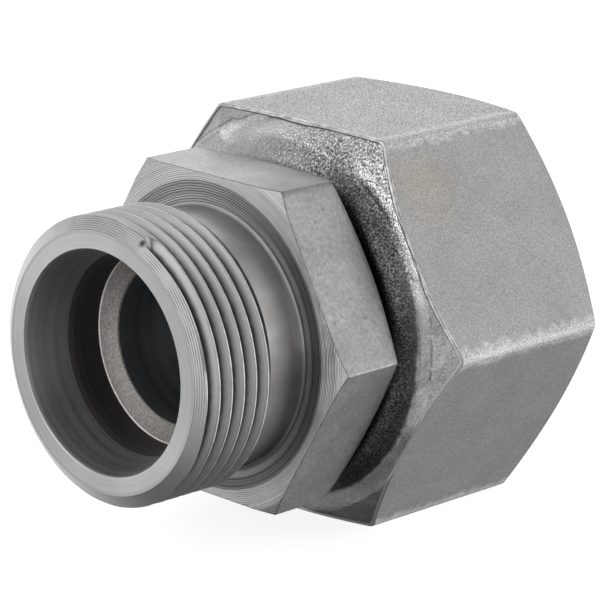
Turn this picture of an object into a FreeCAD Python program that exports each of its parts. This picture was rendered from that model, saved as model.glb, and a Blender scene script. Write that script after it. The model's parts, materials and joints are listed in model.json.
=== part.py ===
import FreeCAD, Part
import math
import os

# Straight reducer for hydraulic tube: a turned body with a male 24 degree cone end for the
# smaller tube and, behind its hexagon, a tube stub that carries a cutting ring and a captive
# swivel nut for the larger size.
# +X runs along the axis, from the male end's face at x = 0 towards the nut. +Z is up, square
# to a flat of each hexagon. Lengths are in millimetres, angles in degrees.

# Male end and its tube socket, from the tube outwards
cone_angle = 24.0
tube_radius = 12.5
tube_stop_width = 2.5
bore_edge = 0.3
socket_depth = 12.0
mouth_flare = 1.45
mouth_edge = 0.25
male_face_width = 2.1
male_lead_height = 1.7
male_lead_length = 1.15
male_thread_length = 12.6
male_length = 18.0
relief_depth = 1.6
relief_root_cone = 0.9

# Hexagon of the body
body_flat_height = 2.5
body_hex_length = 10.5
body_front_chamfer_width = 1.8
body_front_chamfer_angle = 18.0
body_rear_chamfer_inset = 1.0
body_rear_chamfer_angle = 19.6
body_edge_radius = 0.3

# Tube stub behind the hexagon
stub_radius = 15.0
stub_length = 27.3
stub_root_radius = 0.5
stub_end_taper = 1.2
stub_end_taper_angle = 20.0

# Cutting ring pressed on the stub
ring_land = 0.8
ring_shoulder_wall = 3.3
ring_shoulder_length = 5.0
ring_cone_wall = 1.6
ring_cone_length = 5.9
ring_bite_length = 0.8
ring_bite_depth = 0.2
ring_relief = 0.15

# Swivel nut, from the stub outwards
nut_running_clearance = 0.08
nut_gap_to_body = 0.7
nut_hole_length = 6.5
nut_hole_edge = 0.8
nut_seat_angle = 90.0
nut_seat_land = 1.0
nut_ring_clearance = 0.6
nut_ring_play = 0.4
nut_seat_step = 1.02
nut_thread_depth = 1.08
nut_relief_length = 3.0
nut_relief_depth = 0.2
nut_mouth_edge = 1.4
nut_wall = 4.0
nut_length = 31.3
nut_edge_radius = 1.2
nut_boss_height = 2.1
nut_boss_inset = 2.0
nut_boss_angle = 45.0
nut_boss_nose_width = 1.5
nut_boss_root_radius = 0.8
nut_front_chamfer_width = 0.2
nut_front_chamfer_angle = 30.0
nut_rear_chamfer_inset = 1.0
nut_rear_chamfer_angle = 27.7

# How far a cutting shape runs past the face that it opens
cut_overrun = 2.0


def slope(angle):
    return math.tan(math.radians(angle))


# Radii and widths that follow from the sizes above
bore_radius = tube_radius - tube_stop_width
mouth_radius = tube_radius + mouth_flare
male_face_radius = mouth_radius + mouth_edge + male_face_width
male_thread_radius = male_face_radius + male_lead_height
relief_radius = male_thread_radius - relief_depth
body_across_flats = 2 * (male_thread_radius + body_flat_height)
body_front_chamfer_radius = body_across_flats / 2 + body_front_chamfer_width
body_rear_chamfer_radius = body_across_flats / 2 - body_rear_chamfer_inset
ring_shoulder_radius = stub_radius + ring_shoulder_wall
ring_cone_radius = stub_radius + ring_cone_wall
nut_hole_radius = stub_radius + nut_running_clearance
nut_seat_radius = ring_shoulder_radius + nut_ring_clearance
nut_minor_radius = nut_seat_radius + nut_seat_step
nut_thread_radius = nut_minor_radius + nut_thread_depth
nut_across_flats = 2 * (nut_thread_radius + nut_wall)
nut_boss_radius = nut_across_flats / 2 - nut_boss_inset
nut_front_chamfer_radius = nut_across_flats / 2 + nut_front_chamfer_width
nut_rear_chamfer_radius = nut_across_flats / 2 - nut_rear_chamfer_inset
bite_radius = stub_radius - ring_bite_depth
hex_reach = nut_across_flats

# Places along the axis that follow from them
hex_front = male_length
hex_rear = hex_front + body_hex_length
stub_end = hex_rear + stub_length
nut_front = hex_rear + nut_gap_to_body
nut_rear = nut_front + nut_length
nut_seat_start = nut_front + nut_hole_length
nut_seat_slope = slope(nut_seat_angle / 2)
nut_seat_end = nut_seat_start + (nut_seat_radius - nut_hole_radius) / nut_seat_slope
ring_rear = nut_seat_start + (stub_radius + ring_land - nut_hole_radius) / nut_seat_slope + nut_ring_play
ring_front = ring_rear + ring_shoulder_length + ring_cone_length
bite_start = ring_front - ring_bite_length
axis_start = FreeCAD.Vector(0, 0, 0)
axis_direction = FreeCAD.Vector(1, 0, 0)


def rounded_wire(corners, place):
    """Closed wire through corners (u, v) or (u, v, radius), with tangent arcs where given."""
    count = len(corners)
    stretches = []
    for index, corner in enumerate(corners):
        point = FreeCAD.Vector(corner[0], corner[1], 0)
        radius = corner[2] if len(corner) > 2 else 0
        if not radius:
            stretches.append((point, None, point))
            continue
        before = corners[index - 1]
        after = corners[(index + 1) % count]
        back = (FreeCAD.Vector(before[0], before[1], 0) - point).normalize()
        ahead = (FreeCAD.Vector(after[0], after[1], 0) - point).normalize()
        half_angle = back.getAngle(ahead) / 2
        setback = radius / math.tan(half_angle)
        bisector = (back + ahead).normalize()
        middle = point + bisector * (radius / math.sin(half_angle) - radius)
        stretches.append((point + back * setback, middle, point + ahead * setback))
    edges = []
    for index, (start, middle, end) in enumerate(stretches):
        if middle is not None:
            edges.append(Part.Arc(place(start), place(middle), place(end)).toShape())
        next_start = stretches[(index + 1) % count][0]
        if end.distanceToPoint(next_start) > 1e-6:
            edges.append(Part.LineSegment(place(end), place(next_start)).toShape())
    return Part.Wire(edges)


def turned(corners):
    """Solid of revolution about the axis, from corners (x, radius) with optional rounding."""
    wire = rounded_wire(corners, lambda point: FreeCAD.Vector(point.x, 0, point.y))
    return Part.Face(wire).revolve(axis_start, axis_direction, 360)


def hexagon(across_flats, start, length, edge_radius):
    """Hexagonal bar along the axis with two flats level."""
    corner_radius = across_flats / math.sqrt(3)
    corners = []
    for index in range(6):
        angle = math.radians(60 * index)
        corners.append((corner_radius * math.cos(angle), corner_radius * math.sin(angle), edge_radius))
    wire = rounded_wire(corners, lambda point: FreeCAD.Vector(start, point.x, point.y))
    return Part.Face(wire).extrude(axis_direction * length)


def male_end():
    """Threaded end at its crest radius, with its relief and the small cone at the hexagon."""
    return turned([
        (0, 0),
        (0, male_face_radius),
        (male_lead_length, male_thread_radius),
        (male_thread_length - relief_depth, male_thread_radius),
        (male_thread_length, relief_radius),
        (hex_front - relief_root_cone, relief_radius),
        (hex_front, relief_radius + relief_root_cone),
        (hex_front, 0),
    ])


def body_hexagon():
    """Wrench hexagon, with its corners chamfered on both faces."""
    bar = hexagon(body_across_flats, hex_front, body_hex_length, body_edge_radius)
    front_setback = (hex_reach - body_front_chamfer_radius) * slope(body_front_chamfer_angle)
    rear_setback = (hex_reach - body_rear_chamfer_radius) * slope(body_rear_chamfer_angle)
    front = turned([
        (hex_front, 0),
        (hex_front, body_front_chamfer_radius),
        (hex_front + front_setback, hex_reach),
        (hex_rear + front_setback, hex_reach),
        (hex_rear + front_setback, 0),
    ])
    rear = turned([
        (hex_front - rear_setback, 0),
        (hex_front - rear_setback, hex_reach),
        (hex_rear - rear_setback, hex_reach),
        (hex_rear, body_rear_chamfer_radius),
        (hex_rear, 0),
    ])
    return bar.common(front).common(rear)


def tube_stub():
    """Plain stub behind the hexagon, with the groove that the ring's edge has cut in it."""
    taper = stub_end_taper * slope(stub_end_taper_angle)
    return turned([
        (hex_front, 0),
        (hex_front, stub_radius),
        (hex_rear, stub_radius),
        (hex_rear, stub_radius + stub_root_radius),
        (hex_rear + stub_root_radius, stub_radius),
        (bite_start, stub_radius),
        (bite_start, bite_radius),
        (ring_front, bite_radius),
        (ring_front, stub_radius),
        (stub_end - stub_end_taper, stub_radius),
        (stub_end, stub_radius - taper),
        (stub_end, 0),
    ])


def body_passage():
    """Everything bored out of the body: mouth, sealing cone, tube socket and through bore."""
    cone_end = mouth_edge + (mouth_radius - tube_radius) / slope(cone_angle / 2)
    return turned([
        (-cut_overrun, 0),
        (-cut_overrun, mouth_radius + mouth_edge + cut_overrun),
        (mouth_edge, mouth_radius),
        (cone_end, tube_radius),
        (socket_depth, tube_radius),
        (socket_depth, bore_radius + bore_edge),
        (socket_depth + bore_edge, bore_radius),
        (stub_end - bore_edge, bore_radius),
        (stub_end + cut_overrun, bore_radius + bore_edge + cut_overrun),
        (stub_end + cut_overrun, 0),
    ])


def reducer_body():
    outside = male_end().fuse(body_hexagon()).fuse(tube_stub())
    return outside.cut(body_passage()).removeSplitter()


def cutting_ring():
    """Ring with a rear shoulder for the nut, a sealing cone and a land that bites the stub."""
    shoulder_front = ring_rear + (ring_shoulder_radius - stub_radius - ring_land) / nut_seat_slope
    cone_start = ring_rear + ring_shoulder_length
    relief = stub_radius + ring_relief
    return turned([
        (ring_rear, relief),
        (ring_rear, stub_radius + ring_land),
        (shoulder_front, ring_shoulder_radius),
        (cone_start, ring_shoulder_radius),
        (cone_start, ring_cone_radius),
        (ring_front, ring_cone_radius - ring_cone_length * slope(cone_angle / 2)),
        (ring_front, bite_radius),
        (bite_start, bite_radius),
        (bite_start, relief),
    ])


def nut_outside():
    """Forged hexagon with a round boss, a flat land and chamfered corners in front, chamfered behind."""
    boss_root = nut_front + nut_boss_height
    nose_radius = nut_boss_radius - nut_boss_height * slope(nut_boss_angle)
    nose_depth = nut_boss_nose_width * math.cos(math.radians(nut_boss_angle))
    nose_rise = nut_boss_nose_width * math.sin(math.radians(nut_boss_angle))
    front_setback = (hex_reach - nut_front_chamfer_radius) * slope(nut_front_chamfer_angle)
    rear_setback = (hex_reach - nut_rear_chamfer_radius) * slope(nut_rear_chamfer_angle)
    bar = hexagon(nut_across_flats, nut_front, nut_length, nut_edge_radius)
    front = turned([
        (nut_front, 0),
        (nut_front, nose_radius - nut_boss_nose_width),
        (nut_front + nose_depth, nose_radius + nose_rise),
        (boss_root, nut_boss_radius, nut_boss_root_radius),
        (boss_root, nut_front_chamfer_radius),
        (boss_root + front_setback, hex_reach),
        (nut_rear + front_setback, hex_reach),
        (nut_rear + front_setback, 0),
    ])
    rear = turned([
        (nut_front - rear_setback, 0),
        (nut_front - rear_setback, hex_reach),
        (nut_rear - rear_setback, hex_reach),
        (nut_rear, nut_rear_chamfer_radius),
        (nut_rear, 0),
    ])
    return bar.common(front).common(rear)


def nut_passage():
    """Everything bored out of the nut: hole, seat cone, thread relief and threaded mouth."""
    relief_radius_inside = nut_thread_radius + nut_relief_depth
    relief_start = nut_seat_end + nut_seat_land
    relief_end = relief_start + nut_relief_length
    return turned([
        (nut_front - cut_overrun, 0),
        (nut_front - cut_overrun, nut_hole_radius + nut_hole_edge + cut_overrun),
        (nut_front + nut_hole_edge, nut_hole_radius),
        (nut_seat_start, nut_hole_radius),
        (nut_seat_end, nut_seat_radius),
        (relief_start, nut_seat_radius),
        (relief_start, relief_radius_inside),
        (relief_end, relief_radius_inside),
        (relief_end + relief_radius_inside - nut_minor_radius, nut_minor_radius),
        (nut_rear - nut_mouth_edge, nut_minor_radius),
        (nut_rear + cut_overrun, nut_minor_radius + nut_mouth_edge + cut_overrun),
        (nut_rear + cut_overrun, 0),
    ])


def union_nut():
    return nut_outside().cut(nut_passage())


def write_node(name, shape):
    """One STEP file per piece, holding its single solid."""
    solid = shape.Solids[0]
    print(name, "solids", len(shape.Solids), "valid", solid.isValid(), "volume", round(solid.Volume, 1))
    solid.exportStep(os.path.join("parts", name + ".step"))


os.makedirs("parts", exist_ok=True)
write_node("reducer_body", reducer_body())
write_node("cutting_ring", cutting_ring())
write_node("union_nut", union_nut())
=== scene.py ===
import json
import math

import bmesh
import bpy
import numpy as np
from mathutils import Matrix, Vector, noise


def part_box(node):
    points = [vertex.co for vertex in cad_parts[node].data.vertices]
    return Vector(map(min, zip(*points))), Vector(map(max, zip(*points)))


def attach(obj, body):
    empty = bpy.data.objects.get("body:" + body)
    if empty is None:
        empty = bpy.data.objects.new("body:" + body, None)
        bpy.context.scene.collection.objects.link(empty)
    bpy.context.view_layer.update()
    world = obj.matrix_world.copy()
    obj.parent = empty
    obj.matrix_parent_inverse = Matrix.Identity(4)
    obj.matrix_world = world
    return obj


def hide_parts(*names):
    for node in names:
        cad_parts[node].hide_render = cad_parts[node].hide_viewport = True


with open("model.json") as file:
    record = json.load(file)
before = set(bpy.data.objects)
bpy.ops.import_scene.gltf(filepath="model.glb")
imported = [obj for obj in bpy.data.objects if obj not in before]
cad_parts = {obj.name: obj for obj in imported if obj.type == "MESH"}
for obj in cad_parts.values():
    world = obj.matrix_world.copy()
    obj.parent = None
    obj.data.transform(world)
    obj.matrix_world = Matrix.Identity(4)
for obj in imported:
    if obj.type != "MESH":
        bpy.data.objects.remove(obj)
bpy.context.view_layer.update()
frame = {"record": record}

mm = 0.001
merge_distance = 0.0005 * mm
sharp_angle = math.radians(31)

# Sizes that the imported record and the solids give
mounts = {mount["name"]: mount for mount in frame["record"]["mounts"]}


def mount_radius(name):
    return mounts[name]["dims"]["r_mm"] * mm


body_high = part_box("reducer_body")[1]
ring_low, ring_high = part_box("cutting_ring")
nut_low, nut_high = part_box("union_nut")
thread_radius = mount_radius("male_thread")
thread_length = mounts["male_thread"]["dims"]["length_mm"] * mm
tube_radius = mount_radius("tube_socket")
bore_radius = mount_radius("through_bore")
stub_radius = mount_radius("stub_end")
nut_minor_radius = mount_radius("nut_thread")
stub_end = body_high.x
body_flat = body_high.z
nut_flat = nut_high.z
nut_front = nut_low.x
nut_rear = nut_high.x
ring_rear = ring_low.x
ring_front = ring_high.x
ring_shoulder_radius = ring_high.z

# Thread form
thread_pitch = 2.0 * mm
thread_depth = 1.23 * mm
thread_crest = 0.25 * mm
thread_slope = math.tan(math.radians(30))
thread_crest_softening = 0.015 * mm
thread_root_softening = 0.03 * mm
thread_groove_rise = 0.012
male_thread_turn = 0.845
male_thread_start = -0.69
nut_thread_depth = 1.08 * mm

# Male end
face_radius = 16.3 * mm
mouth_radius = 13.95 * mm
mouth_edge = 0.15 * mm
cone_slope = math.tan(math.radians(12))
socket_depth = 12.0 * mm
shoulder_rise = 1.0 * mm
shoulder_edge_width = 0.16 * mm
# Length of painted shadow at the inner end of the cone
cone_shadow = 0.9 * mm
bore_edge = 0.3 * mm
lead_length = 1.15 * mm
relief_radius = 16.4 * mm
relief_root = 0.4 * mm

# Hexagon of the body
hex_front = 18.0 * mm
hex_rear = 28.5 * mm
hex_front_land = 22.3 * mm
hex_front_slope = math.tan(math.radians(18))
hex_rear_land = 19.5 * mm
hex_rear_slope = math.tan(math.radians(19.6))
hex_corner_round = 0.3 * mm
hex_rim_round = 0.12 * mm
dark_band_radius = 19.6 * mm

# Stub and the groove that the ring's edge has cut in it
stub_root = 0.5 * mm
bite_length = 0.8 * mm
bite_depth = 0.2 * mm
stub_taper = 1.2 * mm
stub_taper_slope = math.tan(math.radians(20))

# Cutting ring
ring_clearance = 0.15 * mm
ring_collar = 5.0 * mm
ring_chamfer = 2.5 * mm
ring_cone_wall = 1.6 * mm
ring_edge = 0.3 * mm

# Swivel nut
nut_corner_round = 1.2 * mm
nut_rim_round = 0.16 * mm
nut_hole_radius = 15.08 * mm
nut_hole_edge = 0.8 * mm
nut_seat_start = 35.7 * mm
nut_seat_radius = 18.9 * mm
nut_seat_land = 1.0 * mm
nut_relief_radius = 21.2 * mm
nut_relief_length = 3.0 * mm
nut_mouth_edge = 1.4 * mm
boss_height = 2.1 * mm
boss_radius = 23.0 * mm
boss_nose = 1.5 * mm
boss_root = 0.8 * mm
nut_chamfer_radius = 25.2 * mm
nut_chamfer_slope = math.tan(math.radians(30))
nut_setback_radius = 23.2 * mm
nut_top_setback = 2.6 * mm
nut_lip_width = 0.14 * mm
nut_groove_width = 0.2 * mm
nut_groove_depth = 0.14 * mm
nut_rear_land = 24.0 * mm
nut_rear_slope = math.tan(math.radians(27.7))
nut_sink = 0.04 * mm
nut_ridge_radius = 28 * mm
nut_crease_radius = 25.8 * mm

# Part of the nut's front edge that has a groove and a lip, and its top flat, in degrees from the
# far side over the top
lined_from = 61
lined_to = 179
lined_fade = 4
top_flat = 90
half_flat = 30

# Places of single marks that the photograph shows
nick_place = (1.0 * mm, -6.45 * mm, 15.95 * mm)
chatter_place = (15.2 * mm, -15.9 * mm, 3.5 * mm)
dent_place = (19.1 * mm, -19.9 * mm, 5.9 * mm)
tint_place = (37 * mm, -18 * mm, 19 * mm)
scratch_place = (47 * mm, -22 * mm, 12 * mm)
speckle_place = (31 * mm, -13 * mm, 20 * mm)

# Directions across the axis: up, towards the camera's side and away from it
up = (0, 0, 1)
near_side = (0, -1, 0)
far_side = (0, 1, 0)
white = (1.0, 1.0, 1.0)


def column_angles(step, corner_offsets):
    """Angles of the columns once around, with extra ones beside the six corners."""
    angles = set(round(index * step, 6) for index in range(int(round(360 / step))))
    for corner in range(0, 360, 60):
        for offset in corner_offsets:
            angles.add(round((corner + offset) % 360, 6))
            angles.add(round((corner - offset) % 360, 6))
    return np.radians(np.array(sorted(angles) + [360.0]))


def hexagon_radius(angles, flat, corner_round):
    """Distance from the axis to a hexagon's outline, with its six corners rounded."""
    from_flat = np.abs((angles % math.radians(60)) - math.radians(30))
    from_corner = math.radians(30) - from_flat
    centre = (flat - corner_round) / math.cos(math.radians(30))
    tangent = math.radians(30) - math.atan((flat - corner_round) * math.tan(math.radians(30)) / flat)
    straight = flat / np.cos(from_flat)
    inside = np.maximum(corner_round ** 2 - (centre * np.sin(from_corner)) ** 2, 0)
    rounded = centre * np.cos(from_corner) + np.sqrt(inside)
    return np.where(from_corner < tangent, rounded, straight)


def spaced(start, end, count):
    """Values after start, up to and with end, evenly spaced."""
    return [start + (end - start) * (index + 1) / count for index in range(count)]


class Lathe:
    """Rows of points around the axis, which close into one watertight mesh."""

    def __init__(self, angles):
        self.angles = angles
        self.rows = []

    def row(self, x, radius, finish):
        full = np.ones_like(self.angles)
        self.rows.append((x * full, radius * full, finish))

    def line(self, start, end, count, finish):
        """Rows from start to end, both (x, radius), without the start itself."""
        for share in spaced(0, 1, count):
            x = start[0] + (end[0] - start[0]) * share
            radius = start[1] + (end[1] - start[1]) * share
            self.row(x, radius, finish)

    def bend(self, start, corner, end, count, finish):
        """Rows along a rounded corner, from start to end."""
        for share in spaced(0, 1, count):
            back, ahead = (1 - share) ** 2, share ** 2
            middle = 1 - back - ahead
            x = back * start[0] + middle * corner[0] + ahead * end[0]
            radius = back * start[1] + middle * corner[1] + ahead * end[1]
            self.row(x, radius, finish)

    def helix(self, start, end, turn, profile, envelope, finish, inward=1, first_cut=-99):
        """Rows that follow a right-hand thread between start and end, at both of which they gather.

        The groove begins at first_cut, in turns along the thread, and soon has its full depth.
        """
        crest = profile[0][1]
        low, high = min(start, end), max(start, end)
        first = math.floor(low / thread_pitch) - 2
        last = math.ceil(high / thread_pitch) + 1
        steps = [(turns + share) for turns in range(first, last) for share, _ in profile]
        heights = [height for turns in range(first, last) for _, height in profile]
        order = list(zip(steps, heights))
        if end < start:
            order.reverse()
        wound = self.angles / (2 * math.pi) + turn
        for step, height in order:
            x = np.clip((step + wound) * thread_pitch, low, high)
            limit = envelope(x)
            since = math.floor(step) + self.angles / (2 * math.pi) - first_cut
            cut = np.clip(since / thread_groove_rise, 0, 1)
            height = crest + (height - crest) * cut
            radius = np.minimum(height, limit) if inward > 0 else np.maximum(height, limit)
            gathered = (x <= low) | (x >= high)
            radius = np.where(gathered, limit, radius)
            self.rows.append((x, radius, finish))

    def wear(self, finish, depth, size, along):
        """Uneven wear of one finish, up to depth, along the axis (1) or back against it (-1)."""
        for index, (x, radius, own) in enumerate(self.rows):
            if own != finish:
                continue
            y, z = radius * np.cos(self.angles), radius * np.sin(self.angles)
            places = zip(x / size, y / size, z / size)
            amount = np.array([0.5 + 0.5 * noise.noise(place) for place in places]) * depth
            self.rows[index] = (x + along * amount, radius, own)

    def build(self, name, materials):
        """The mesh object, with the rows joined in a ring and the doubled points merged."""
        x = np.array([row[0] for row in self.rows])
        radius = np.array([row[1] for row in self.rows])
        points = np.stack([x, radius * np.cos(self.angles), radius * np.sin(self.angles)], axis=-1)
        count, columns = x.shape
        mesh = bmesh.new()
        corners = [mesh.verts.new(point) for point in points.reshape(-1, 3)]
        for row in range(count):
            following = (row + 1) % count
            finish = self.rows[following][2]
            for column in range(columns - 1):
                face = mesh.faces.new([
                    corners[row * columns + column],
                    corners[row * columns + column + 1],
                    corners[following * columns + column + 1],
                    corners[following * columns + column],
                ])
                face.material_index = finish
                face.smooth = True
        bmesh.ops.remove_doubles(mesh, verts=mesh.verts, dist=merge_distance)
        data = bpy.data.meshes.new(name)
        mesh.to_mesh(data)
        mesh.free()
        for material in materials:
            data.materials.append(material)
        data.set_sharp_from_angle(angle=sharp_angle)
        piece = bpy.data.objects.new(name, data)
        bpy.context.scene.collection.objects.link(piece)
        return piece


def thread_profile(crest, depth, narrow_outside):
    """One turn of thread: pairs of (share of the pitch, radius), with its edges slightly rounded."""
    half = thread_crest / 2
    flank = depth * thread_slope
    samples = []
    for offset in (0.0, half * 0.7, half * 1.5, half + flank * 0.33, half + flank * 0.66,
                   half + flank * 0.94, half + flank * 1.1, thread_pitch / 2):
        drop = min(max((offset - half) / thread_slope, 0), depth)
        soft = thread_crest_softening * (half * 0.6 < offset < half * 1.6)
        lift = thread_root_softening * (half + flank * 0.9 < offset < half + flank * 1.2)
        samples.append((offset / thread_pitch, drop + soft - lift))
    mirrored = [(1 - share, drop) for share, drop in reversed(samples[1:-1])]
    side = 1 if narrow_outside else -1
    return [(share, crest - side * drop) for share, drop in samples + mirrored]


# Finishes are the places of the materials in a piece's list
BODY_FINISHES = ("face", "edge", "thread", "relief", "banded", "milled", "turned", "bore", "shoulder",
                 "socket", "cone")
NUT_FINISHES = ("forged", "front", "groove", "lip", "turned", "bore", "thread")


def body_piece(materials):
    finish = {name: index for index, name in enumerate(BODY_FINISHES)}
    corner_offsets = (0.0, 0.12, 0.24, 0.36, 0.5, 1.0, 1.8, 2.8, 6.8)
    lathe = Lathe(column_angles(1.2, corner_offsets))
    outline = hexagon_radius(lathe.angles, body_flat, hex_corner_round)
    core_radius = thread_radius - thread_depth
    lead_slope = (thread_radius - face_radius) / lead_length

    # Male face and lead chamfer
    lathe.row(0, mouth_radius + mouth_edge, finish["face"])
    lathe.line((0, mouth_radius + mouth_edge), (0, face_radius), 6, finish["face"])
    chamfer_root = (core_radius - face_radius) / lead_slope
    lathe.line((0, face_radius), (chamfer_root, core_radius), 3, finish["thread"])

    # Thread, cut by the lead chamfer in front and by the relief behind
    runout = thread_length - (core_radius - relief_radius)

    def envelope(x):
        lead = face_radius + x * lead_slope
        tail = relief_radius + (thread_length - x)
        return np.minimum(np.minimum(lead, tail), thread_radius)

    profile = thread_profile(thread_radius, thread_depth, True)
    lathe.helix(chamfer_root, runout, male_thread_turn, profile, envelope, finish["thread"],
                first_cut=male_thread_start)
    lathe.line((runout, core_radius), (thread_length, relief_radius), 2, finish["relief"])
    lathe.line((thread_length, relief_radius), (hex_front - relief_root, relief_radius), 4, finish["relief"])
    lathe.bend((hex_front - relief_root, relief_radius),
               (hex_front - relief_root * 0.35, relief_radius + relief_root * 0.35),
               (hex_front, relief_radius + relief_root), 6, finish["relief"])

    # Front of the hexagon: rings that stop at the outline
    def front(radius):
        return hex_front + np.maximum(radius - hex_front_land, 0) * hex_front_slope

    def rear(radius):
        return hex_rear - np.maximum(radius - hex_rear_land, 0) * hex_rear_slope

    start = relief_radius + relief_root
    rings = spaced(start, dark_band_radius, 6) + spaced(dark_band_radius, hex_front_land, 6)
    rings += spaced(hex_front_land, outline.max(), 5)
    for ring in rings:
        radius = np.minimum(ring, outline - hex_rim_round)
        lathe.row(front(radius), radius, finish["banded"])
    rim = outline - hex_rim_round
    front_rim = (front(rim), rim)
    front_flat = (front(outline) + hex_rim_round, outline)
    lathe.bend(front_rim, (front(outline), outline), front_flat, 3, finish["milled"])
    rear_flat = (rear(outline) - hex_rim_round, outline)
    lathe.line(front_flat, rear_flat, 14, finish["milled"])
    rear_rim = (rear(rim), rim)
    lathe.bend(rear_flat, (rear(outline), outline), rear_rim, 3, finish["milled"])
    for ring in reversed(spaced(hex_rear_land, outline.max(), 6)):
        radius = np.minimum(ring, rim)
        lathe.row(rear(radius), radius, finish["turned"])
    lathe.line((hex_rear, hex_rear_land), (hex_rear, stub_radius + stub_root), 5, finish["turned"])
    lathe.bend((hex_rear, stub_radius + stub_root), (hex_rear, stub_radius),
               (hex_rear + stub_root, stub_radius), 4, finish["turned"])

    # Stub, with the bitten groove under the ring's edge
    bite = ring_front - bite_length
    lathe.line((hex_rear + stub_root, stub_radius), (bite, stub_radius), 5, finish["turned"])
    lathe.line((bite, stub_radius), (bite, stub_radius - bite_depth), 1, finish["turned"])
    lathe.line((bite, stub_radius - bite_depth), (ring_front, stub_radius - bite_depth), 2, finish["turned"])
    lathe.line((ring_front, stub_radius - bite_depth), (ring_front, stub_radius), 1, finish["turned"])
    lathe.line((ring_front, stub_radius), (stub_end - stub_taper, stub_radius), 6, finish["turned"])
    tip = stub_radius - stub_taper * stub_taper_slope
    lathe.bend((stub_end - stub_taper, stub_radius), (stub_end - stub_taper / 2, stub_radius),
               (stub_end, tip), 4, finish["turned"])
    lathe.line((stub_end, tip), (stub_end, bore_radius + bore_edge), 4, finish["turned"])
    lathe.line((stub_end, bore_radius + bore_edge), (stub_end - bore_edge, bore_radius), 2, finish["turned"])

    # Passage, from the stub's end back to the mouth
    shoulder_edge = socket_depth + bore_edge
    lathe.line((stub_end - bore_edge, bore_radius), (shoulder_edge, bore_radius), 8, finish["bore"])
    lathe.bend((shoulder_edge, bore_radius), (socket_depth + bore_edge * 0.3, bore_radius + bore_edge * 0.3),
               (socket_depth, bore_radius + bore_edge), 3, finish["shoulder"])
    shoulder_root = (socket_depth, bore_radius + bore_edge)
    shoulder_rim = (socket_depth - shoulder_rise, tube_radius)
    shoulder_slope = shoulder_rise / (shoulder_rim[1] - shoulder_root[1])
    # The strip along the shoulder's rim takes the light edge steel: a painted highlight.
    highlight_start = (shoulder_rim[0] + shoulder_edge_width * shoulder_slope,
                    shoulder_rim[1] - shoulder_edge_width)
    lathe.line(shoulder_root, highlight_start, 6, finish["shoulder"])
    lathe.line(highlight_start, shoulder_rim, 1, finish["edge"])
    cone_end = mouth_edge + (mouth_radius - tube_radius) / cone_slope
    # The cone's inner end takes the dark socket steel: painted shadow.
    cone_shadow_end = (cone_end - cone_shadow, tube_radius + cone_shadow * cone_slope)
    lathe.line(shoulder_rim, (cone_end, tube_radius), 6, finish["socket"])
    lathe.line((cone_end, tube_radius), cone_shadow_end, 2, finish["socket"])
    lathe.line(cone_shadow_end, (mouth_edge, mouth_radius), 14, finish["cone"])
    lathe.bend((mouth_edge, mouth_radius), (mouth_edge * 0.4, mouth_radius + mouth_edge * 0.4),
               (0, mouth_radius + mouth_edge), 3, finish["face"])
    return lathe.build("reducer_body_finish", materials)


def ring_piece(materials):
    lathe = Lathe(column_angles(2.0, ()))
    land = ring_shoulder_radius - ring_chamfer
    relief = stub_radius + ring_clearance
    bite_radius = stub_radius - bite_depth
    shoulder_front = ring_rear + ring_chamfer
    cone_start = ring_rear + ring_collar
    cone_radius = stub_radius + ring_cone_wall
    tip_radius = cone_radius - (ring_front - cone_start) * cone_slope
    lathe.row(ring_rear, relief, 0)
    lathe.line((ring_rear, relief), (ring_rear, land), 2, 0)
    lathe.line((ring_rear, land), (shoulder_front, ring_shoulder_radius), 6, 0)
    collar_end = (cone_start - ring_edge, ring_shoulder_radius)
    step_start = (cone_start, ring_shoulder_radius - ring_edge)
    lathe.line((shoulder_front, ring_shoulder_radius), collar_end, 4, 0)
    lathe.bend(collar_end, (cone_start, ring_shoulder_radius), step_start, 4, 0)
    lathe.line(step_start, (cone_start, cone_radius), 3, 0)
    lathe.line((cone_start, cone_radius), (ring_front, tip_radius), 10, 0)
    lathe.line((ring_front, tip_radius), (ring_front, bite_radius), 2, 0)
    lathe.line((ring_front, bite_radius), (ring_front - bite_length, bite_radius), 2, 0)
    lathe.line((ring_front - bite_length, bite_radius), (ring_front - bite_length, relief), 1, 0)
    lathe.line((ring_front - bite_length, relief), (ring_rear, relief), 6, 0)
    lathe.rows.pop()
    return lathe.build("cutting_ring_finish", materials)


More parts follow.
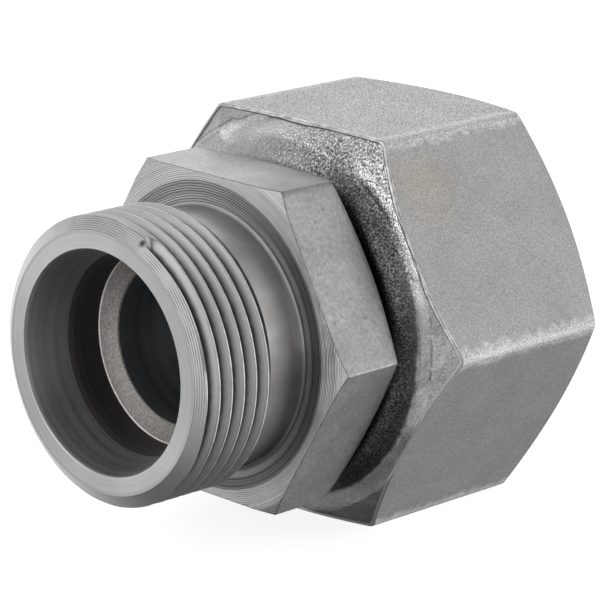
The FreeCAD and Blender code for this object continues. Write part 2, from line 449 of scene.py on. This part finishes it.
def nut_piece(materials):
    finish = {name: index for index, name in enumerate(NUT_FINISHES)}
    corner_offsets = (0.0, 0.25, 0.5, 0.75, 1.0, 1.3, 1.6, 2.2, 3.0, 9.0)
    lathe = Lathe(column_angles(1.0, corner_offsets))
    flat = nut_flat - nut_sink
    outline = hexagon_radius(lathe.angles, flat, nut_corner_round)
    nose_radius = boss_radius - boss_height
    land = nut_front + boss_height

    # The forged edge stands further back along the top flat
    turned = np.degrees(lathe.angles)
    chamfered = np.maximum(outline - nut_chamfer_radius, 0)
    on_top = np.abs(turned - top_flat) < half_flat
    setback = nut_top_setback * (1 - chamfered / chamfered.max()) * on_top

    def front(radius):
        outer = np.clip((radius - nut_setback_radius) / (nut_flat - nut_setback_radius), 0, 1)
        return land + np.maximum(radius - nut_chamfer_radius, 0) * nut_chamfer_slope + setback * outer

    def rear(radius):
        return nut_rear - np.maximum(radius - nut_rear_land, 0) * nut_rear_slope

    # Front face and rounded nose of the boss, its cone and its root
    hole_edge = (nut_front, nut_hole_radius + nut_hole_edge)
    lathe.row(hole_edge[0], hole_edge[1], finish["turned"])
    face_end = (nut_front, nose_radius - boss_nose)
    lathe.line(hole_edge, face_end, 6, finish["front"])
    leg = boss_nose * math.sqrt(0.5)
    nose_end = (nut_front + leg, nose_radius + leg)
    lathe.bend(face_end, (nut_front, nose_radius), nose_end, 6, finish["front"])
    root_leg = boss_root * math.tan(math.radians(22.5))
    root_start = (land - root_leg * math.sqrt(0.5), boss_radius - root_leg * math.sqrt(0.5))
    lathe.line(nose_end, root_start, 3, finish["front"])
    lathe.bend(root_start, (land, boss_radius), (land, boss_radius + root_leg), 4, finish["front"])

    # Land and chamfered corners, with a thin groove and a lip along the outline
    rim = outline - nut_rim_round
    lip_inside = rim - nut_lip_width
    groove = lip_inside - nut_groove_width
    lined = np.clip((turned - lined_from) / lined_fade, 0, 1)
    lined = lined * np.clip((lined_to - turned) / lined_fade, 0, 1)
    line_depth = nut_groove_depth * lined
    rings = spaced(boss_radius + root_leg, nut_chamfer_radius, 4)
    rings += spaced(nut_chamfer_radius, outline.max() - nut_rim_round, 9)
    for ring in rings:
        radius = np.minimum(ring, groove)
        lathe.row(front(radius), radius, finish["front"])
    for share in (0.3, 0.7):
        radius = groove + nut_groove_width * share
        lathe.row(front(radius) + line_depth, radius, finish["groove"])
    lathe.row(front(lip_inside), lip_inside, finish["lip"])
    lathe.row(front(rim), rim, finish["lip"])
    front_flat = (front(outline) + nut_rim_round, outline)
    lathe.bend((front(rim), rim), (front(outline), outline), front_flat, 5, finish["lip"])
    rear_flat = (rear(outline) - nut_rim_round, outline)
    lathe.line(front_flat, rear_flat, 30, finish["forged"])
    lathe.bend(rear_flat, (rear(outline), outline), (rear(rim), rim), 4, finish["forged"])
    for ring in reversed(spaced(nut_rear_land, outline.max() - nut_rim_round, 8)):
        radius = np.minimum(ring, rim)
        lathe.row(rear(radius), radius, finish["forged"])
    mouth = nut_minor_radius + nut_mouth_edge
    lathe.line((nut_rear, nut_rear_land), (nut_rear, mouth), 3, finish["turned"])
    mouth_floor = nut_rear - nut_mouth_edge
    lathe.line((nut_rear, mouth), (mouth_floor, nut_minor_radius), 3, finish["turned"])

    # Internal thread, from the mouth in to the relief
    seat_end = nut_seat_start + nut_seat_radius - nut_hole_radius
    relief_start = seat_end + nut_seat_land
    relief_end = relief_start + nut_relief_length
    thread_end = relief_end + nut_relief_radius - nut_minor_radius
    profile = thread_profile(nut_minor_radius, nut_thread_depth, False)

    def envelope(x):
        return nut_minor_radius * np.ones_like(x)

    lathe.helix(mouth_floor, thread_end, 0.1, profile, envelope, finish["thread"], inward=-1)
    lathe.line((thread_end, nut_minor_radius), (relief_end, nut_relief_radius), 2, finish["bore"])
    lathe.line((relief_end, nut_relief_radius), (relief_start, nut_relief_radius), 2, finish["bore"])
    lathe.line((relief_start, nut_relief_radius), (relief_start, nut_seat_radius), 2, finish["bore"])
    lathe.line((relief_start, nut_seat_radius), (seat_end, nut_seat_radius), 1, finish["bore"])
    lathe.line((seat_end, nut_seat_radius), (nut_seat_start, nut_hole_radius), 5, finish["bore"])
    lathe.line((nut_seat_start, nut_hole_radius), (nut_front + nut_hole_edge, nut_hole_radius), 4,
               finish["bore"])
    lathe.line((nut_front + nut_hole_edge, nut_hole_radius), hole_edge, 2, finish["turned"])
    lathe.rows.pop()
    lathe.wear(finish["front"], depth=0.25 * mm, size=3.5 * mm, along=1.0)
    lathe.wear(finish["front"], depth=0.10 * mm, size=0.9 * mm, along=1.0)
    lathe.wear(finish["groove"], depth=0.08 * mm * lined, size=1.6 * mm, along=-1.0)
    lathe.wear(finish["lip"], depth=0.2 * mm * lined, size=1.1 * mm, along=1.0)
    return lathe.build("union_nut_finish", materials)


class Shader:
    """Adds and links the nodes of one procedural steel."""

    def __init__(self, name, roughness):
        self.material = bpy.data.materials.new(name)
        self.material.use_nodes = True
        tree = self.material.node_tree
        self.nodes, self.links = tree.nodes, tree.links
        self.surface = self.nodes["Principled BSDF"]
        self.surface.inputs["Metallic"].default_value = 1.0
        self.surface.inputs["Roughness"].default_value = roughness
        self.place = self.nodes.new("ShaderNodeTexCoord").outputs["Object"]
        self.relief = None

    def math(self, operation, first, second=0.0):
        node = self.nodes.new("ShaderNodeMath")
        node.operation = operation
        for socket, value in zip(node.inputs, (first, second)):
            if isinstance(value, (int, float)):
                socket.default_value = value
            else:
                self.links.new(value, socket)
        return node.outputs[0]

    def along(self):
        """Distance along the axis, in metres."""
        node = self.nodes.new("ShaderNodeSeparateXYZ")
        self.links.new(self.place, node.inputs[0])
        return node.outputs[0]

    def scaled(self, factors):
        """The place, scaled along each of the three directions."""
        node = self.nodes.new("ShaderNodeVectorMath")
        node.operation = "MULTIPLY"
        node.inputs[1].default_value = factors
        self.links.new(self.place, node.inputs[0])
        return node.outputs[0]

    def radius(self):
        """Distance from the axis, in metres."""
        length = self.nodes.new("ShaderNodeVectorMath")
        length.operation = "LENGTH"
        self.links.new(self.scaled((0, 1, 1)), length.inputs[0])
        return length.outputs["Value"]

    def across(self, direction):
        """Distance along a direction, in metres."""
        node = self.nodes.new("ShaderNodeVectorMath")
        node.operation = "DOT_PRODUCT"
        node.inputs[1].default_value = direction
        self.links.new(self.place, node.inputs[0])
        return node.outputs["Value"]

    def near(self, point):
        """Distance from a point, in metres."""
        node = self.nodes.new("ShaderNodeVectorMath")
        node.operation = "DISTANCE"
        node.inputs[1].default_value = point
        self.links.new(self.place, node.inputs[0])
        return node.outputs["Value"]

    def corner(self, reach):
        """Distance along the outline from the hexagon's nearest corner, at the given radius."""
        node = self.nodes.new("ShaderNodeSeparateXYZ")
        self.links.new(self.place, node.inputs[0])
        turned = self.math("ARCTAN2", node.outputs[2], node.outputs[1])
        third = math.pi / 3
        wrapped = self.math("FLOORED_MODULO", turned, third)
        from_middle = self.math("ABSOLUTE", self.math("SUBTRACT", wrapped, third / 2))
        return self.math("MULTIPLY", self.math("SUBTRACT", third / 2, from_middle), reach)

    def brushed(self, amount):
        """Stretches the gloss across the turning marks."""
        node = self.nodes.new("ShaderNodeTangent")
        node.direction_type = "RADIAL"
        node.axis = "X"
        self.links.new(node.outputs[0], self.surface.inputs["Tangent"])
        self.surface.inputs["Anisotropic"].default_value = amount

    def noise(self, size, detail=2.0, roughness=0.5, place=None):
        node = self.nodes.new("ShaderNodeTexNoise")
        node.inputs["Scale"].default_value = 1 / size
        node.inputs["Detail"].default_value = detail
        node.inputs["Roughness"].default_value = roughness
        self.links.new(place or self.place, node.inputs["Vector"])
        return node.outputs["Fac"]

    def rings(self, size, place):
        """Irregular turning marks: noise that varies with one coordinate alone."""
        node = self.nodes.new("ShaderNodeTexNoise")
        node.noise_dimensions = "1D"
        node.inputs["Scale"].default_value = 1 / size
        node.inputs["Detail"].default_value = 2.0
        self.links.new(place, node.inputs["W"])
        return node.outputs["Fac"]

    def waves(self, pitch, place):
        """Even grooves from 0 to 1, at the given pitch."""
        turned = self.math("SINE", self.math("MULTIPLY", place, 2 * math.pi / pitch))
        return self.math("ADD", self.math("MULTIPLY", turned, 0.5), 0.5)

    def ramp(self, value, stops):
        """Tones at positions from 0 to 1, as pairs of (position, tone or colour)."""
        node = self.nodes.new("ShaderNodeValToRGB")
        elements = node.color_ramp.elements
        while len(elements) < len(stops):
            elements.new(0.5)
        for element, (position, tone) in zip(elements, stops):
            element.position = position
            element.color = (*tone, 1) if isinstance(tone, tuple) else (tone, tone, tone, 1)
        self.links.new(value, node.inputs[0])
        return node.outputs["Color"]

    def spread(self, value, low, high, to_low, to_high, soft=False):
        """A value between low and high, carried over to the range from to_low to to_high."""
        node = self.nodes.new("ShaderNodeMapRange")
        if soft:
            node.interpolation_type = "SMOOTHSTEP"
        for socket, number in zip(node.inputs[1:5], (low, high, to_low, to_high)):
            socket.default_value = number
        self.links.new(value, node.inputs[0])
        return node.outputs[0]

    def multiply(self, first, second):
        node = self.nodes.new("ShaderNodeMix")
        node.data_type = "RGBA"
        node.blend_type = "MULTIPLY"
        node.inputs["Factor"].default_value = 1.0
        self.links.new(first, node.inputs["A"])
        self.links.new(second, node.inputs["B"])
        return node.outputs["Result"]

    def times(self, *values):
        """Product of several numbers."""
        product = values[0]
        for value in values[1:]:
            product = self.math("MULTIPLY", product, value)
        return product

    def mix(self, share, first, second):
        """The first colour where the share is 0 and the second where it is 1."""
        node = self.nodes.new("ShaderNodeMix")
        node.data_type = "RGBA"
        self.links.new(share, node.inputs["Factor"])
        for socket, value in ((node.inputs["A"], first), (node.inputs["B"], second)):
            if isinstance(value, tuple):
                socket.default_value = (*value, 1)
            else:
                self.links.new(value, socket)
        return node.outputs["Result"]

    def shade(self, base, share, tone):
        """A colour that is multiplied by a tone as far as the share says."""
        return self.multiply(base, self.mix(share, white, tone))

    def shaken(self, value, reach, size, detail=3.0):
        """A length, moved unevenly by up to reach either way."""
        uneven = self.noise(size, detail)
        return self.math("ADD", value, self.spread(uneven, 0.3, 0.7, -reach, reach))

    def bands(self, value, low, high, stops):
        """Tones between two lengths in millimetres, as pairs of (millimetres, tone)."""
        share = self.spread(value, low * mm, high * mm, 0.0, 1.0)
        return self.ramp(share, [((size - low) / (high - low), tone) for size, tone in stops])

    def color(self, value):
        self.links.new(value, self.surface.inputs["Base Color"])

    def rough(self, value):
        self.links.new(value, self.surface.inputs["Roughness"])

    def bump(self, height, depth):
        """Adds relief of the given depth, in metres, on top of what is there."""
        node = self.nodes.new("ShaderNodeBump")
        node.inputs["Strength"].default_value = 1.0
        node.inputs["Distance"].default_value = depth
        self.links.new(height, node.inputs["Height"])
        if self.relief:
            self.links.new(self.relief, node.inputs["Normal"])
        self.relief = node.outputs[0]
        self.links.new(self.relief, self.surface.inputs["Normal"])


def grey(tone, warmth=0.0):
    return (tone * (1 + warmth), tone, tone * (1 - warmth))


def turned_steel(name, tone, roughness, groove, depth, coordinate, warmth=0.0, contrast=0.12, brushed=0.0):
    """Lathe-turned steel, with grooves at one pitch along the axis or the radius and a little mottling."""
    shader = Shader(name, roughness)
    place = shader.radius() if coordinate == "radius" else shader.along()
    marks = shader.waves(groove, place)
    uneven = shader.rings(groove * 4, place)
    blotch = shader.noise(6 * mm, 3.0)
    dark, light = grey(tone * (1 - contrast), warmth), grey(tone * (1 + contrast), warmth)
    base = shader.ramp(uneven, [(0.3, dark), (0.7, light)])
    stain = shader.ramp(blotch, [(0.3, 0.9), (0.7, 1.0)])
    shader.color(shader.multiply(base, stain))
    shader.rough(shader.spread(uneven, 0.3, 0.7, roughness - 0.05, roughness + 0.05))
    shader.bump(marks, depth)
    shader.bump(uneven, depth * 2)
    shader.bump(shader.noise(0.15 * mm, 2.0), depth * 0.7)
    if brushed:
        shader.brushed(brushed)
    return shader.material


def thread_steel(name, root, crest, tone):
    """Satin thread flanks, with painted shade darkening the root and bright along the crest."""
    shader = Shader(name, 0.48)
    height = shader.spread(shader.radius(), root, crest, 0.0, 1.0)
    streaks = shader.noise(1.2 * mm, 3.0)
    height = shader.math("ADD", height, shader.spread(streaks, 0.3, 0.7, -0.08, 0.02))
    # The dark tones down in the root are painted shade.
    base = shader.ramp(height, [(0.0, grey(tone * 0.1, 0.03)), (0.16, grey(tone * 0.28, 0.02)),
                                (0.42, grey(tone * 0.9, 0.01)), (0.93, grey(tone, 0.01)),
                                (1.0, grey(tone * 0.7, 0.01))])
    shader.color(base)
    shader.bump(shader.noise(0.3 * mm, 3.0), 0.006 * mm)
    shader.bump(shader.noise(2.0 * mm, 2.0), 0.015 * mm)
    return shader, base


def nut_thread_steel():
    root = nut_minor_radius + nut_thread_depth
    return thread_steel("nut_thread_steel", root, nut_minor_radius, 0.46)[0].material


def male_thread_steel():
    """Thread steel, with a grooved lead chamfer in front whose tool marks fade towards the underside."""
    shader, thread = thread_steel("thread_steel", thread_radius - thread_depth, thread_radius, 0.5)
    radius = shader.radius()
    slope = (thread_radius - face_radius) / lead_length
    chamfer = shader.math("ADD", shader.math("MULTIPLY", shader.along(), slope), face_radius)
    on_lead = shader.spread(shader.math("SUBTRACT", chamfer, radius), 0.02 * mm, 0.1 * mm, 1.0, 0.0)
    strength = shader.spread(shader.across((0, -0.5, 0.87)), 2 * mm, 12 * mm, 0.25, 1.0)
    patchy = shader.spread(shader.noise(3 * mm), 0.3, 0.6, 0.5, 1.0)
    cut = shader.times(shader.waves(0.24 * mm, radius), strength, patchy, on_lead)
    # Painted shade: the uncut crest on the top is darkened to damp its highlight.
    uncut = shader.times(shader.spread(shader.along(), 2.3 * mm, 2.6 * mm, 1.0, 0.0),
                         shader.spread(shader.across(near_side), 6.2 * mm, 7.0 * mm, 1.0, 0.0),
                         shader.spread(shader.across(up), 8 * mm, 12 * mm, 0.0, 1.0))
    thread = shader.mix(uncut, thread, grey(0.27))
    base = shader.mix(on_lead, thread, shader.ramp(cut, [(0.0, 0.5), (1.0, 0.25)]))
    nick = shader.spread(shader.near(nick_place), 0.35 * mm, 0.65 * mm, 1.0, 0.0)
    shader.color(shader.mix(nick, base, grey(0.06)))
    shader.bump(cut, 0.02 * mm)
    return shader.material


def banded_steel():
    """Front of the hexagon: painted highlight lines with painted shade between them next to the relief, a
    wide dark band whose grooves get painted light and shade towards the top, and a bright grooved band
    around it.
    """
    shader = Shader("banded_steel", 0.42)
    radius = shader.radius()
    shaken = shader.shaken(radius, 0.05 * mm, 1.5 * mm, 2.0)
    # The stops up to 17.85 mm are painted highlight lines with painted shade between them.
    base = shader.bands(shaken, 16.0, 24.0, [
        (16.5, 0.3), (16.7, 0.6), (16.85, 0.15), (16.95, 0.42), (17.2, 0.28), (17.32, 0.72), (17.85, 0.66),
        (18.0, 0.34), (18.9, 0.32), (19.45, 0.36), (19.6, 0.85), (19.75, 0.8), (22.2, 0.74), (22.6, 0.56),
        (23.6, 0.54)])
    outside = shader.spread(radius, dark_band_radius - 0.2 * mm, dark_band_radius + 0.2 * mm, 0.0, 1.0)
    uneven = shader.rings(0.3 * mm, radius)
    lines = shader.mix(outside, shader.ramp(uneven, [(0.35, 0.45), (0.65, 1.0)]),
                       shader.ramp(uneven, [(0.35, 0.85), (0.65, 1.0)]))
    base = shader.multiply(base, lines)
    base = shader.multiply(base, shader.ramp(shader.waves(0.25 * mm, radius), [(0.0, 0.68), (1.0, 1.0)]))
    base = shader.multiply(base, shader.ramp(shader.noise(5 * mm, 3.0), [(0.3, 0.9), (0.7, 1.0)]))
    # Towards the top, the dark band's grooves get painted light and shade.
    high = shader.times(shader.spread(shader.across(up), 12 * mm, 17 * mm, 0.0, 0.7),
                        shader.math("SUBTRACT", 1.0, outside))
    painted_groove_sheen = shader.ramp(shader.waves(0.32 * mm, shaken), [(0.0, 0.12), (0.5, 0.3), (1.0, 0.62)])
    shader.color(shader.mix(high, base, painted_groove_sheen))
    outer = shader.spread(radius, dark_band_radius - 0.1 * mm, dark_band_radius + 0.1 * mm, 0.5, 1.0)
    patchy = shader.spread(shader.noise(4 * mm, 2.0), 0.35, 0.6, 0.45, 1.0)
    marks = shader.times(shader.waves(0.25 * mm, radius), outer, patchy)
    shader.bump(marks, 0.03 * mm)
    shader.bump(uneven, 0.02 * mm)
    return shader.material


def relief_steel():
    """Undercut behind the thread: smooth, with painted shade on its lower side, and a patch of chatter."""
    shader = Shader("relief_steel", 0.52)
    base = shader.ramp(shader.noise(4 * mm, 3.0), [(0.3, grey(0.36, 0.05)), (0.7, grey(0.5, -0.01))])
    # Painted shade on the lower side.
    low = shader.spread(shader.across(up), -2 * mm, 2.5 * mm, 1.0, 0.0)
    shader.color(shader.shade(base, low, grey(0.5)))
    patch = shader.spread(shader.near(chatter_place), 2.0 * mm, 5.0 * mm, 1.0, 0.0)
    slanted = shader.across((0.8, 0.1, -0.9))
    shader.bump(shader.times(shader.waves(0.3 * mm, slanted), patch), 0.012 * mm)
    shader.bump(shader.rings(0.4 * mm, shader.along()), 0.006 * mm)
    shader.brushed(0.3)
    return shader.material


def milled_steel():
    """Flats of the body's hexagon: satin, with small pits, fine scratches and one dent, and painted shade on
    the near side of the top flat and on the lower flats.
    """
    shader = Shader("milled_steel", 0.42)
    tone = shader.ramp(shader.noise(4 * mm, 4.0), [(0.3, grey(0.275)), (0.7, grey(0.345))])
    tone = shader.multiply(tone, shader.ramp(shader.noise(0.5 * mm, 3.0), [(0.35, 0.86), (0.65, 1.08)]))
    spots = shader.noise(0.35 * mm, 2.0)
    pits = shader.ramp(spots, [(0.26, 0.45), (0.34, 1.0)])
    # Painted shade: the near side of the top flat and the lower flats are darkened.
    top = shader.spread(shader.across(up), 19.6 * mm, 20.3 * mm, 0.0, 1.0)
    top_near_shade = shader.times(top, shader.spread(shader.across(near_side), 3 * mm, 11 * mm, 0.0, 1.0))
    low = shader.spread(shader.across(up), -18 * mm, -11 * mm, 1.0, 0.0)
    tone = shader.shade(shader.shade(tone, top_near_shade, grey(0.66)), low, grey(0.84))
    shader.color(shader.multiply(tone, pits))
    shader.bump(pits, 0.02 * mm)
    shader.bump(shader.noise(0.25 * mm, 3.0), 0.012 * mm)
    shader.bump(shader.spread(shader.near(dent_place), 0.0, 0.7 * mm, 0.0, 1.0), 0.12 * mm)
    return shader.material


def flat_steel():
    """Flats of the nut: blasted grain on top, rough light ridges at the corners, faint scratches."""
    shader = Shader("forged_steel_flat", 0.5)
    fine = shader.noise(0.2 * mm, 2.0, 0.7)
    coarse = shader.noise(7 * mm, 3.0)
    grain = shader.spread(shader.across(up), 23.6 * mm, 24.7 * mm, 0.3, 1.0)
    tint = shader.spread(shader.near(tint_place), 2 * mm, 7 * mm, 0.8, 0.0)
    base = shader.ramp(coarse, [(0.3, grey(0.285, 0.0)), (0.7, grey(0.32, -0.005))])
    base = shader.shade(base, tint, (1.06, 0.99, 0.9))
    edge = shader.shaken(shader.corner(nut_ridge_radius), 0.5 * mm, 1.2 * mm)
    ridge = shader.spread(edge, 0.7 * mm, 1.5 * mm, 1.0, 0.0)
    dots = shader.mix(grain, white, shader.ramp(fine, [(0.36, 0.3), (0.5, 0.93), (0.64, 1.9)]))
    base = shader.multiply(base, shader.mix(ridge, dots, white))
    rough = shader.ramp(shader.noise(0.22 * mm, 3.0), [(0.35, 1.1), (0.65, 2.2)])
    base = shader.mix(ridge, base, shader.multiply(base, rough))
    shader.color(base)
    shader.rough(shader.spread(ridge, 0.0, 1.0, 0.5, 0.62))
    even = shader.math("SUBTRACT", 1.0, ridge)
    shader.bump(shader.times(fine, grain, even), 0.04 * mm)
    shader.bump(shader.times(shader.noise(0.3 * mm, 3.0), ridge), 0.02 * mm)
    shader.bump(coarse, 0.12 * mm)
    scratches = shader.noise(0.25 * mm, 2.0, 0.5, shader.scaled((0.12, 1.0, 1.0)))
    patch = shader.spread(shader.near(scratch_place), 3 * mm, 8 * mm, 1.0, 0.0)
    shader.bump(shader.times(scratches, patch), 0.02 * mm)
    return shader.material


def blasted_steel():
    """Front of the nut: painted shade on the boss, a painted highlight band on the land, painted shade
    towards the bottom and along a crease, and speckle that is strongest at one corner.
    """
    shader = Shader("forged_steel_front", 0.5)
    height = shader.across(up)
    bent = shader.math("ADD", shader.radius(), shader.spread(height, 9 * mm, 16 * mm, 1.1 * mm, 0.0))
    shaken = shader.shaken(bent, 0.3 * mm, 2.2 * mm)
    # Painted light and shade by place: shaded copies on the near side and a lit copy elsewhere, dark deep
    # behind the body's hexagon, with a highlight band on the land.
    shaded = shader.bands(shaken, 19.0, 29.0, [
        (20.8, 0.05), (22.2, 0.14), (23.2, 0.2), (24.2, 0.45), (24.9, 0.7), (25.6, 0.56), (26.3, 0.44),
        (29.0, 0.42)])
    shaded_below = shader.bands(shaken, 19.0, 29.0, [
        (20.8, 0.03), (22.2, 0.1), (23.9, 0.16), (24.3, 0.4), (29.0, 0.39)])
    lit = shader.bands(shaken, 19.0, 29.0, [
        (21.0, 0.34), (22.5, 0.4), (23.6, 0.52), (24.6, 0.52), (25.8, 0.38), (29.0, 0.38)])
    side = shader.spread(shader.across(near_side), 3 * mm, 13 * mm, 0.0, 1.0, soft=True)
    above = shader.spread(height, 3 * mm, 10 * mm, 0.0, 1.0)
    base = shader.mix(side, lit, shader.mix(above, shaded_below, shaded))
    # Painted shade towards the bottom.
    base = shader.shade(base, shader.spread(height, -22 * mm, -4 * mm, 1.0, 0.0), grey(0.55))
    # Painted shade along a crease on the far side of the top.
    crease_shade = shader.math("ABSOLUTE", shader.math("SUBTRACT", shaken, nut_crease_radius))
    crease_shade = shader.spread(crease_shade, 0.05 * mm, 0.2 * mm, 0.45, 0.0)
    far = shader.times(shader.spread(shader.across(far_side), 1 * mm, 5 * mm, 0.0, 1.0),
                       shader.spread(height, 8 * mm, 14 * mm, 0.0, 1.0))
    base = shader.mix(shader.times(crease_shade, far), base, grey(0.1))
    fine = shader.noise(0.25 * mm, 2.0, 0.6)
    close = shader.spread(shader.near(speckle_place), 7 * mm, 17 * mm, 1.0, 0.25)
    inner = shader.spread(shaken, 23.0 * mm, 24.5 * mm, 1.0, 0.0)
    strength = shader.math("MAXIMUM", close, shader.times(inner, side))
    speckle = shader.ramp(fine, [(0.34, 0.15), (0.44, 0.65), (0.54, 1.1), (0.66, 2.4)])
    shader.color(shader.multiply(base, shader.mix(strength, white, speckle)))
    rounded = shader.spread(shaken, 23.4 * mm, 26.0 * mm, 1.0, 0.0, soft=True)
    shader.bump(shader.times(rounded, side, above), 0.8 * mm)
    tilted = shader.spread(shader.radius(), nut_setback_radius, nut_chamfer_radius, 0.0, -1.0)
    under = shader.times(shader.math("SUBTRACT", 1.0, above),
                         shader.spread(height, -12 * mm, -4 * mm, 0.0, 1.0))
    shader.bump(shader.times(tilted, side, under), 1.15 * mm)
    shader.bump(shader.times(fine, strength), 0.06 * mm)
    shader.bump(shader.noise(1.1 * mm, 2.0), 0.06 * mm)
    return shader.material


def line_steel(name, tone):
    """Groove in painted shade or lip with a painted highlight, which only the top and the camera's flat have
    along their edge.
    """
    shader = Shader(name, 0.5)
    there = shader.times(shader.spread(shader.across(up), 0.5 * mm, 2.5 * mm, 0.0, 1.0),
                         shader.spread(shader.across(far_side), 12.0 * mm, 14.0 * mm, 1.0, 0.0))
    # The groove's dark tone is painted shade and the lip's light tone a painted highlight.
    painted_line_tone = shader.ramp(shader.noise(1.2 * mm, 3.0), [(0.35, tone * 0.7), (0.65, tone * 1.15)])
    shader.color(shader.mix(there, grey(0.45), painted_line_tone))
    shader.bump(shader.noise(0.3 * mm, 3.0), 0.02 * mm)
    return shader.material


def plain_steel(name, tone, roughness, warmth, size=1.5 * mm, dark=0.8):
    """Steel with no turning marks, mottled down to a share of its tone."""
    shader = Shader(name, roughness)
    stops = [(0.3, grey(tone * dark, warmth)), (0.7, grey(tone, warmth))]
    shader.color(shader.ramp(shader.noise(size, 3.0), stops))
    shader.bump(shader.noise(0.3 * mm, 3.0), 0.01 * mm)
    return shader.material


def body_materials():
    return [
        turned_steel("male_face_steel", 0.63, 0.4, 0.12 * mm, 0.001 * mm, "radius", contrast=0.05,
                     brushed=0.4),
        # Painted highlight along the shoulder's rim
        plain_steel("edge_highlight_steel", 0.6, 0.4, 0.05),
        male_thread_steel(),
        relief_steel(),
        banded_steel(),
        milled_steel(),
        turned_steel("stub_steel", 0.36, 0.4, 0.15 * mm, 0.002 * mm, "along"),
        turned_steel("bore_steel", 0.18, 0.6, 0.3 * mm, 0.003 * mm, "along", warmth=-0.08),
        plain_steel("shoulder_steel", 0.3, 0.5, 0.05, size=0.25 * mm, dark=0.5),
        turned_steel("socket_steel", 0.2, 0.5, 0.25 * mm, 0.004 * mm, "along", warmth=0.05),
        turned_steel("cone_steel", 0.55, 0.45, 0.2 * mm, 0.002 * mm, "along"),
    ]


def nut_materials():
    return [
        flat_steel(),
        blasted_steel(),
        # Groove in painted shade, lip with a painted highlight.
        line_steel("forged_steel_groove_shade", 0.1),
        line_steel("forged_steel_lip_highlight", 0.62),
        turned_steel("nut_turned_steel", 0.36, 0.4, 0.2 * mm, 0.003 * mm, "radius"),
        turned_steel("nut_bore_steel", 0.3, 0.45, 0.2 * mm, 0.003 * mm, "along"),
        nut_thread_steel(),
    ]


body = body_piece(body_materials())
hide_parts("reducer_body")
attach(body, "fitting")

ring = ring_piece([turned_steel("ring_steel", 0.2, 0.4, 0.2 * mm, 0.002 * mm, "along")])
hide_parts("cutting_ring")
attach(ring, "fitting")

nut = nut_piece(nut_materials())
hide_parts("union_nut")
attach(nut, "nut")


# Pale floor, level with the nut's lowest flat
def plain_material(name, tone, glow):
    material = bpy.data.materials.new(name)
    material.use_nodes = True
    surface = material.node_tree.nodes["Principled BSDF"]
    surface.inputs["Base Color"].default_value = (tone, tone, tone, 1)
    surface.inputs["Roughness"].default_value = 0.9
    surface.inputs["Specular IOR Level"].default_value = 0.1
    surface.inputs["Emission Color"].default_value = (1, 1, 1, 1)
    surface.inputs["Emission Strength"].default_value = glow
    return material


floor_half = 3.0
floor_data = bpy.data.meshes.new("floor")
floor_data.from_pydata(
    [(-floor_half, -floor_half, nut_low.z), (floor_half, -floor_half, nut_low.z),
     (floor_half, floor_half, nut_low.z), (-floor_half, floor_half, nut_low.z)],
    [], [(0, 1, 2, 3)])
floor_data.materials.append(plain_material("floor_white", 0.42, 0.84))
floor = bpy.data.objects.new("floor", floor_data)
bpy.context.scene.collection.objects.link(floor)
floor.visible_diffuse = False
floor.visible_glossy = False
floor.visible_shadow = False


# Soft studio light from all around, as (azimuth, elevation, strength)
soft_lights = (
    (-178, -5, 2.16),
    (32, 41, 1.70),
    (-60, -32, 1.58),
    (-73, 16, 1.42),
    (77, -28, 1.40),
    (65, 20, 1.38),
    (170, 46, 1.30),
    (-40, -2, 1.28),
    (97, 2, 1.00),
    (150, 13, 0.97),
    (-20, 28, 0.96),
    (-8, -20, 0.70),
)
soft_light_focus = 8.0


def studio_world():
    world = bpy.data.worlds.new("studio")
    bpy.context.scene.world = world
    world.use_nodes = True
    nodes, links = world.node_tree.nodes, world.node_tree.links
    place = nodes.new("ShaderNodeTexCoord").outputs["Generated"]

    def step(operation, first, second):
        node = nodes.new("ShaderNodeMath")
        node.operation = operation
        for socket, value in zip(node.inputs, (first, second)):
            if isinstance(value, float):
                socket.default_value = value
            else:
                links.new(value, socket)
        return node.outputs[0]

    total = 0.0
    for azimuth, elevation, strength in soft_lights:
        turn, rise = math.radians(azimuth), math.radians(elevation)
        toward = nodes.new("ShaderNodeVectorMath")
        toward.operation = "DOT_PRODUCT"
        toward.inputs[1].default_value = (
            math.cos(turn) * math.cos(rise), math.sin(turn) * math.cos(rise), math.sin(rise))
        links.new(place, toward.inputs[0])
        facing = step("MAXIMUM", toward.outputs["Value"], 0.0)
        lobe = step("MULTIPLY", step("POWER", facing, soft_light_focus), strength)
        total = step("ADD", lobe, total)
    links.new(total, nodes["Background"].inputs["Strength"])
    nodes["Background"].inputs["Color"].default_value = (1, 1, 1, 1)


studio_world()


# Camera at the photograph's angle
def photo_camera():
    azimuth, elevation, roll = math.radians(-44.729), math.radians(16.215), math.radians(0.940)
    distance = 420.956 * mm
    target = Vector((25.212 * mm, -0.023 * mm, 0.001 * mm))
    frame_pixels = 600
    focal_pixels = 3365.193
    centre_pixel = (250.073, 325.064)
    sensor = 36.0
    back = Vector((math.sin(azimuth) * math.cos(elevation), -math.cos(azimuth) * math.cos(elevation),
                   math.sin(elevation)))
    level = Vector((math.cos(azimuth), math.sin(azimuth), 0))
    upright = back.cross(level)
    screen_right = math.cos(roll) * level + math.sin(roll) * upright
    screen_up = -math.sin(roll) * level + math.cos(roll) * upright
    data = bpy.data.cameras.new("photo_camera")
    data.sensor_width = sensor
    data.lens = focal_pixels / frame_pixels * sensor
    data.shift_x = (frame_pixels / 2 - centre_pixel[0]) / frame_pixels
    data.shift_y = (centre_pixel[1] - frame_pixels / 2) / frame_pixels
    data.clip_start = 0.01
    data.clip_end = 20.0
    camera = bpy.data.objects.new("photo_camera", data)
    turn = Matrix((screen_right, screen_up, back)).transposed().to_4x4()
    camera.matrix_world = Matrix.Translation(target + back * distance) @ turn
    bpy.context.scene.collection.objects.link(camera)
    bpy.context.scene.camera = camera


photo_camera()
bpy.context.scene.view_settings.view_transform = "Standard"
